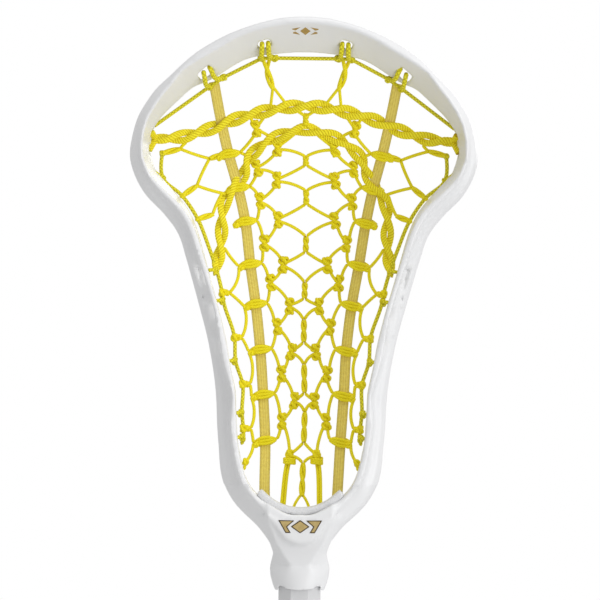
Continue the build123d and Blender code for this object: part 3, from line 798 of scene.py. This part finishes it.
UPPER_LATTICE = [
    ((65.6, 248.2), (69.2, 244.4)), ((69.2, 244.4), (79, 241.8)), ((69.2, 244.4), (53.2, 239.2)),
    ((53.2, 239.2), (46.2, 241.5)), ((53.2, 239.2), (60, 224.1)), ((60, 224.1), (67.7, 218.3)),
    ((60, 224.1), (44, 219.6)), ((46.4, 219.8), (51.2, 208.2)), ((51.2, 208.2), (59, 205.5)),
]
LATTICE_TWISTS = (1, 3, 5, 8)
UPPER_LACE = [(83.2, 249.6), (67, 251.4), (50.5, 256.6), (36, 262.2), (20, 266.3), (0, 268.9)]
UPPER_LACE_ENDS = [(85, 253.2), (86.2, 243.6)]
ARCH_LACE = [
    (49.4, 174.6), (47.4, 184), (46.2, 196), (46.2, 206), (44.4, 216), (39.9, 223.2), (34.7, 230.6),
    (31, 240.2), (25.5, 245.8), (17.3, 251.2), (8.5, 254.4), (0, 256),
]
TOP_STRING = [(84, 256.4), (53.4, 278.9), (45.8, 284), (25, 294.7), (17.6, 295)]
TOP_LOOPS = [
    ((53.2, 279.6), (56, 285.4)), ((45.9, 284.2), (52.6, 288.5)),
    ((24.3, 295), (23.9, 301.6)), ((19.1, 296), (20.5, 302)),
]
TOP_LOOP_WIDTH = 2.7
STRING_FORWARD = 2  # how far the top string is in front of the net
HANGER = [(22.2, 294.9), (21.4, 287.5), (18.4, 278.5)]
HANGER_FORK = [(19.6, 268.6), (11.1, 270)]
BOTTOM_LACE = [(7.6, 73.5), (8.4, 69.7), (10.2, 47.7), (10.8, 37)]
CENTRE_FORK = [(4, 46.2), (4.6, 37)]
LACE_SIDES = 24
LACE_POINT = 5  # the length over which an arched lace's end narrows


def bowed(start, end, bow):
    """A run that bends a little sideways: its two ends and two places between them."""
    start, end = np.asarray(start), np.asarray(end)
    sideways = unit(np.cross(end - start, FORWARD))
    return [
        start,
        start + (end - start) * 0.3 + sideways * bow * MM,
        start + (end - start) * 0.7 + sideways * bow * MM,
        end,
    ]


def knot(cords, centre, axis, size, cord=CORD_WIDTH, turns=(0, 6)):
    """A single lump of some (width, height), turned about its axis by chance."""
    cords.lump(centre, axis, *size, cord, cords.random.uniform(*turns))


def mesh_knot(cords, x, height, side, lean):
    """Two lumps one above the other. Returns where cords leave it, above and below: towards the
    middle from its waist, and away from the middle from its two ends."""
    lean += cords.random.uniform(-0.12, 0.12)
    axis = np.array([sin(lean) * side, 0, cos(lean)])
    centre = on_net(side * x, height, 0.3)
    for way in (1, -1):
        size = cords.random.uniform(0.94, 1.06)
        shift = cords.random.uniform(-0.35, 0.35) * MM
        place = centre + axis * way * KNOT_STEP * MM + RIGHT * shift
        knot(cords, place, axis, (KNOT_WIDTH * size, KNOT_HEIGHT), turns=(0, 2 * pi))
    cords.strand([centre + axis * 2.6 * MM, centre - axis * 2.6 * MM], KNOT_CORE)
    outward = RIGHT * side
    inner = [centre + MM * (way * 0.8 * axis - 0.5 * outward) for way in (1, -1)]
    outer = [centre + MM * (way * 3.2 * axis + 1.0 * outward) for way in (1, -1)]
    return inner, outer


def wrap_ends(side, x, height):
    """Where the mesh leaves a wrap: the inner end sits a little higher than the outer one."""
    inner = on_net(side * (x - WRAP_HALF_WIDTH - 0.6), height + 1.1)
    outer = on_net(side * (x + WRAP_HALF_WIDTH + 0.6), height - 1.1)
    return inner, outer


def wrap(cords, side, x, height):
    """Three turns of cord round a thong, drawn together at both sides, and an outer knot."""
    axis = np.array([sin(side * WRAP_LEAN), 0, cos(WRAP_LEAN)])
    start = 0 if side > 0 else pi
    cords.coil(
        on_net(side * x, height), axis, width=11.4, depth=3.6, height=5.3, turns=3,
        cord=CORD_WIDTH, pinch=0.8, start=start,
    )
    outer = on_net(side * (x + WRAP_HALF_WIDTH - 0.6), height - 2.0, 0.6)
    knot(cords, outer, (side, 0, -0.4), WRAP_KNOT)


def inner_mesh(side, side_name):
    """The diamond mesh between the middle and one thong."""
    cords = Cords(seed=10 + side)
    near = [mesh_knot(cords, x, height, side, -0.1) for x, height in NEAR_KNOTS[:-1]]
    near.append(big_knot(cords, side))
    far = [mesh_knot(cords, x, height, side, 0.1) for x, height in FAR_KNOTS]
    for index in range(len(NEAR_KNOTS)):
        inner, outer = near[index]
        high_twist = on_net(side * 0.3, CENTRE_TWISTS[index][1] - 0.2)
        low_twist = on_net(side * 0.3, CENTRE_TWISTS[index + 1][0] + 0.2)
        cords.strand(bowed(inner[0], high_twist, -side * 0.3), CORD_WIDTH)
        cords.strand(bowed(inner[1], low_twist, side * 0.9), CORD_WIDTH)
        cords.strand(bowed(outer[0], far[index][0][1], -side * 0.7), CORD_WIDTH)
        if index + 1 < len(FAR_KNOTS):
            cords.strand(bowed(outer[1], far[index + 1][0][0], side * 0.5), CORD_WIDTH)
    for index in range(len(FAR_KNOTS)):
        above, below = far[index][1]
        cords.strand(bowed(below, wrap_ends(side, *WRAPS[index])[0], side * 0.3), CORD_WIDTH)
        if index > 0:
            cords.strand(bowed(above, wrap_ends(side, *WRAPS[index - 1])[0], -side * 0.5), CORD_WIDTH)
    for leaving, (x, height) in zip(far[0], LACE_TIES):
        cords.strand([leaving[0], on_net(side * x, height, 1)], CORD_WIDTH)
    (low_x, low), (high_x, high) = MIDDLE_TIE
    cords.strand([on_net(side * low_x, low), on_net(side * high_x, high, 1)], CORD_WIDTH)
    cords.piece(f"net_inner_{side_name}", CORD, "cord", f"cross_lace_inner_{side_name}")


def big_knot(cords, side):
    """The knot that ties off the mesh above the straight bottom laces."""
    x, height = NEAR_KNOTS[-1]
    centre = on_net(side * x, height, 0.6)
    cords.coil(
        centre - UP * 2.2 * MM, UP, width=5.6, depth=4.6, height=3.0, turns=3, cord=CORD_WIDTH
    )
    cords.lump(centre + UP * 1.6 * MM, UP, *BIG_KNOT, CORD_WIDTH, 0.6 * side)
    cords.strand([centre + UP * 3 * MM, centre - UP * 3.6 * MM], 3.4)
    return [centre + UP * 1.2 * MM, centre + UP * 0.4 * MM], [centre + UP * 2.4 * MM] * 2


def outer_mesh(side, side_name):
    """The open mesh between one thong and its sidewall, with the wraps round the thong."""
    cords = Cords(seed=20 + side)
    for x, height in WRAPS:
        wrap(cords, side, x, height)
    lower = WRAPS[FIRST_SIDE_WRAP:]
    for index, (x, height) in enumerate(SIDE_KNOTS):
        bar_end = on_net(side * (x - SIDE_BAR_REACH), height, 0.2)
        string_side = on_net(side * x, height, 0.2)
        middle = on_net(side * (x - SIDE_BAR_REACH * 0.55), height, 0.3)
        knot(cords, string_side, UP, SIDE_KNOT)
        knot(cords, middle, RIGHT, BAR_KNOT)
        for wrap_x, wrap_h in lower[index:index + 2]:
            end = wrap_ends(side, wrap_x, wrap_h)[1]
            bow = -side * 1.5 if wrap_h > height else side * 0.2
            cords.strand(bowed(bar_end, end, bow), CORD_WIDTH)
    last = wrap_ends(side, *WRAPS[-1])[1]
    tail = on_net(side * CROSS_LACE_END[0], CROSS_LACE_END[1], 0.5)
    cords.strand(bowed(last, tail, side * 0.9), CORD_WIDTH)
    cords.lump(tail, (0.3 * side, 0, -1), *TAIL_KNOT, CORD_WIDTH, 1.0)
    cords.strand([tail, tail + np.array([side * 0.8, -0.6, -4.6]) * MM], CORD_WIDTH)
    top = wrap_ends(side, *WRAPS[FIRST_SIDE_WRAP])[1]
    top_x, top_height = FIRST_SIDE_END
    cords.strand(bowed(top, on_net(side * top_x, top_height), side * 0.4), CORD_WIDTH)
    for index, (start, end) in enumerate(UPPER_LATTICE):
        places = on_net(side * start[0], start[1]), on_net(side * end[0], end[1])
        if index in LATTICE_TWISTS:
            cords.twist(places, CORD_WIDTH, 1, gap=1.7)
            knot(cords, places[1], places[1] - places[0], LATTICE_KNOT)
        else:
            cords.strand(bowed(*places, 0.3), CORD_WIDTH)
    cords.piece(f"net_outer_{side_name}", CORD, "cord", f"cross_lace_outer_{side_name}")


def side_string(side, side_name):
    """The string down the sidewall, with the short tails that go into the wall's holes."""
    cords = Cords(seed=30 + side)
    pulled = [(x - STRING_PULL, height) for x, height in SIDE_HOLES]
    route = sorted(SIDE_STRING + pulled, key=lambda place: -place[1])
    points = [on_net(side * x, height) for x, height in route]
    cords.strand(points, SIDE_CORD_WIDTH)
    wing_x, wing_height = WING_HOLE
    cords.strand([points[1], on_net(side * wing_x, wing_height, 5)], SIDE_CORD_WIDTH)
    for x, height in SIDE_HOLES:
        inside = at(side * (x + 2.5), height, rail_y(height) - 4)
        start = on_net(side * (x - STRING_PULL), height + 1)
        middle = at(side * (x - 1), height + 0.4, rail_y(height) - 1.6)
        cords.strand([start, middle, inside], SIDE_CORD_WIDTH)
        knot(cords, on_net(side * (x - 1.9), height, 0.6), UP, HOLE_KNOT)
    for x, height in SIDE_STRING[:2]:
        knot(cords, on_net(side * x, height), UP, WING_KNOT)
    cords.piece(f"side_string_{side_name}", TOP_CORD, "cord", f"sidewall_string_{side_name}")


def bottom_lace(side, side_name):
    """Two straight cords side by side, down behind the foam to a stopper."""
    cords = Cords(seed=40 + side)
    for shift in (-0.8, 0.8):
        points = [on_net(side * x + shift, height) for x, height in BOTTOM_LACE]
        cords.strand(points, BOTTOM_CORD_WIDTH)
    end_x, end_height = BOTTOM_LACE[-1]
    cords.lump(on_net(side * end_x, end_height), UP, *STOPPER_KNOT, 1.5)
    cords.piece(f"bottom_lace_pair_{side_name}", CORD, "cord", f"bottom_lace_{side_name}")


def hanger(side, side_name):
    """A twisted pair from the top string that forks onto the upper shooting lace."""
    cords = Cords(seed=50 + side)
    points = [on_net(side * x, height, 1) for x, height in HANGER]
    cords.twist(points, HANGER_CORD_WIDTH, half_turns=1.5, gap=2.1, start=0, flare=0.8)
    for x, height in HANGER_FORK:
        cords.strand([points[-1] + UP * 0.8 * MM, on_net(side * x, height, 1)], HANGER_FORK_WIDTH)
    cords.piece(f"hanger_{side_name}", CORD, "cord", f"hanger_lace_{side_name}")


def centre_column():
    """The twisted pairs down the middle, and the fork behind the foam."""
    cords = Cords(seed=60)
    for top, low in CENTRE_TWISTS:
        half_turns = max(2, round((top - low) / HALF_TURN_LENGTH))
        if top - low < SHORT_TWIST:
            for height in (top - 0.8, low + 0.8):
                knot(cords, on_net(0, height), UP, SHORT_TWIST_KNOT)
        cords.twist([on_net(0, top), on_net(0, low)], CORD_WIDTH, half_turns)
    for side, _ in SIDES:
        points = [on_net(side * 0.5, CENTRE_TWISTS[-1][1] + 0.8)]
        points += [on_net(side * x, height) for x, height in CENTRE_FORK]
        cords.strand(points, CENTRE_FORK_WIDTH)
        cords.lump(points[-1], UP, *FORK_KNOT, 1.4)
    cords.piece("centre_twists", CORD, "cord", "centre_lace")


def thong(side, side_name):
    """A woven strap from the scoop down behind the throat, with a rib at every weft."""
    cords = Cords()
    path = smooth([on_net(side * x, height) for x, height in THONG_ROUTE], 0.25 * MM)
    ribs = 1 + 0.02 * np.abs(np.sin(pi * lengths_along(path) / (THONG_PITCH * MM)))
    cords.sweep(path, oval(THONG_WIDTH * MM, THONG_DEPTH * MM, 20, 0.45), FORWARD, ribs)
    cords.piece(f"thong_strap_{side_name}", WEBBING, "thong_webbing", f"thong_{side_name}")


def top_string():
    """The string under the scoop, tied through its windows."""
    cords = Cords(seed=70)
    for side, _ in SIDES:
        points = [on_net(side * x, height, STRING_FORWARD) for x, height in TOP_STRING]
        for start, end in zip(points, points[1:]):
            cords.strand([start, end], TOP_CORD_WIDTH)
        for point in points[1:]:
            knot(cords, point, RIGHT, TOP_KNOT, TOP_CORD_WIDTH * 0.9)
        for (foot_x, foot_h), (x, height) in TOP_LOOPS:
            edge = height - 6
            foot = on_net(side * foot_x, foot_h, STRING_FORWARD)
            cords.strand(
                [
                    foot,
                    at(side * (foot_x + x) / 2, (foot_h + edge) / 2, scoop_face_y(0, edge) - 2.4),
                    at(side * (foot_x * 0.15 + x * 0.85), height - 1.6, scoop_face_y(5, edge) - 1.6),
                    at(side * x, height + 0.6, scoop_face_y(6.4, edge) - 0.4),
                    at(side * x, height + 0.2, scoop_face_y(6.4, edge) + 5),
                ],
                TOP_LOOP_WIDTH,
            )
    middle_x, middle_height = TOP_STRING[-1]
    ends = [on_net(way * middle_x, middle_height, STRING_FORWARD) for way in (1, -1)]
    cords.strand(ends, TOP_CORD_WIDTH)
    cords.piece("top_string_braid", TOP_CORD, "cord", "top_string")


def lace_pair(route, spread, half_turns, start, nodes, names, width, ends=None):
    """Two soft ribbed laces wound round each other along a route that mirrors at the middle.
    Where they cross a thong, one is before it and the other behind it."""
    points = [on_net(x, height) for x, height in route]
    points += [on_net(-x, height) for x, height in route[-2::-1]]
    path = smooth(points, 0.25 * MM)
    along = lengths_along(path)
    share = along / along[-1]
    across, normal = crosswise(path, FORWARD)
    fade = np.clip(np.minimum(share, 1 - share) / 0.05, 0, 1)
    section = oval(width * MM, width * 0.6 * MM, LACE_SIDES, 0.85)
    around = np.arange(LACE_SIDES) / LACE_SIDES
    for lace, (node, name) in enumerate(zip(nodes, names)):
        turn = start + lace * pi + share * pi * half_turns
        sideways = spread * np.cos(turn) * (0.25 + 0.75 * fade)
        depth = spread * 0.9 * np.sin(turn)
        lace_path = path + MM * (across * sideways[:, None] + normal * depth[:, None])
        if ends:
            stretch = [at(ends[lace][0], ends[lace][1], rail_y(ends[lace][1]) - 5), lace_path[0]]
            lead = smooth(stretch, 0.25 * MM)[:-1]
            tail = (lead * np.array([-1, 1, 1]))[::-1]
            lace_path = np.vstack([lead, lace_path, tail])
        picks = lengths_along(lace_path)[:, None] / (RIB_PITCH * MM) + RIB_SLANT * around
        ribs = 0.9 + 0.1 * np.abs(np.sin(pi * picks)) ** 0.7
        if not ends:
            from_end = lengths_along(lace_path) / (LACE_POINT * MM)
            from_end = np.minimum(from_end, from_end[-1] - from_end)
            ribs *= np.minimum(1, 0.35 + 0.65 * from_end)[:, None]
        roll = 0.5 * np.sin(np.linspace(0, pi * half_turns, len(lace_path)) + start + lace * pi)
        cords = Cords()
        cords.sweep(lace_path, section, FORWARD, ribs, roll)
        cords.piece(name, LACE, "shooting_lace", node)


for side, side_name in SIDES:
    inner_mesh(side, side_name)
    outer_mesh(side, side_name)
    side_string(side, side_name)
    bottom_lace(side, side_name)
    hanger(side, side_name)
    thong(side, side_name)
centre_column()
top_string()
lace_pair(
    UPPER_LACE, spread=2.1, half_turns=11, start=0.12, width=4.1, ends=UPPER_LACE_ENDS,
    nodes=("upper_shooting_lace_a", "upper_shooting_lace_b"), names=("upper_lace_a", "upper_lace_b"),
)
lace_pair(
    ARCH_LACE, spread=2.0, half_turns=13, start=1.67, width=3.8,
    nodes=("arch_shooting_lace_a", "arch_shooting_lace_b"), names=("arch_lace_a", "arch_lace_b"),
)

# ---- floor and light ----------------------------------------------------------------------

FLOOR_REACH = 3
FLOOR_GREYS = (0.82, 0.82, 0.82), (0.86, 0.86, 0.86)

floor_mesh = bpy.data.meshes.new("floor")
corners = [(x * FLOOR_REACH, y * FLOOR_REACH, 0) for x, y in ((-1, -1), (1, -1), (1, 1), (-1, 1))]
floor_mesh.from_pydata(corners, [], [(0, 1, 2, 3)])
floor_look = Graph("floor", 0.8)
floor_tone = floor_look.blend_colour(floor_look.noise(3), *FLOOR_GREYS)
floor_mesh.materials.append(floor_look.finish(floor_tone))
floor = bpy.data.objects.new("floor", floor_mesh)
bpy.context.scene.collection.objects.link(floor)

HEAD_MIDDLE = (0, 0, COLLAR_Z + 0.16)
FILL_STRENGTH = 0.63


def area_light(name, place, size, power):
    """A round lamp that looks at the head."""
    light = bpy.data.lights.new(name, "AREA")
    light.shape = "DISK"
    light.size = size
    light.energy = power
    lamp = bpy.data.objects.new(name, light)
    lamp.location = place
    towards = Vector(HEAD_MIDDLE) - Vector(place)
    lamp.rotation_euler = towards.to_track_quat("-Z", "Y").to_euler()
    bpy.context.scene.collection.objects.link(lamp)


area_light("key", (2.2, -1.6, 1.9), size=1.8, power=17)
area_light("low", (2.0, -1.8, 0.1), size=1.6, power=21)
area_light("top", (0.2, -0.8, 2.9), size=1.2, power=11)
area_light("back", (0.8, 2.4, 1.6), size=1.6, power=9)

world = bpy.data.worlds.new("studio")
world.use_nodes = True
bpy.context.scene.world = world
tree = world.node_tree
seen = tree.nodes["Background"]
seen.inputs["Color"].default_value = (1, 1, 1, 1)
seen.inputs["Strength"].default_value = 1.0
fill = tree.nodes.new("ShaderNodeBackground")
fill.inputs["Color"].default_value = (1, 1, 1, 1)
fill.inputs["Strength"].default_value = FILL_STRENGTH
mixer = tree.nodes.new("ShaderNodeMixShader")
rays = tree.nodes.new("ShaderNodeLightPath")
tree.links.new(rays.outputs["Is Camera Ray"], mixer.inputs[0])
tree.links.new(fill.outputs[0], mixer.inputs[1])
tree.links.new(seen.outputs[0], mixer.inputs[2])
tree.links.new(mixer.outputs[0], tree.nodes["World Output"].inputs["Surface"])
bpy.context.scene.view_settings.view_transform = "Standard"

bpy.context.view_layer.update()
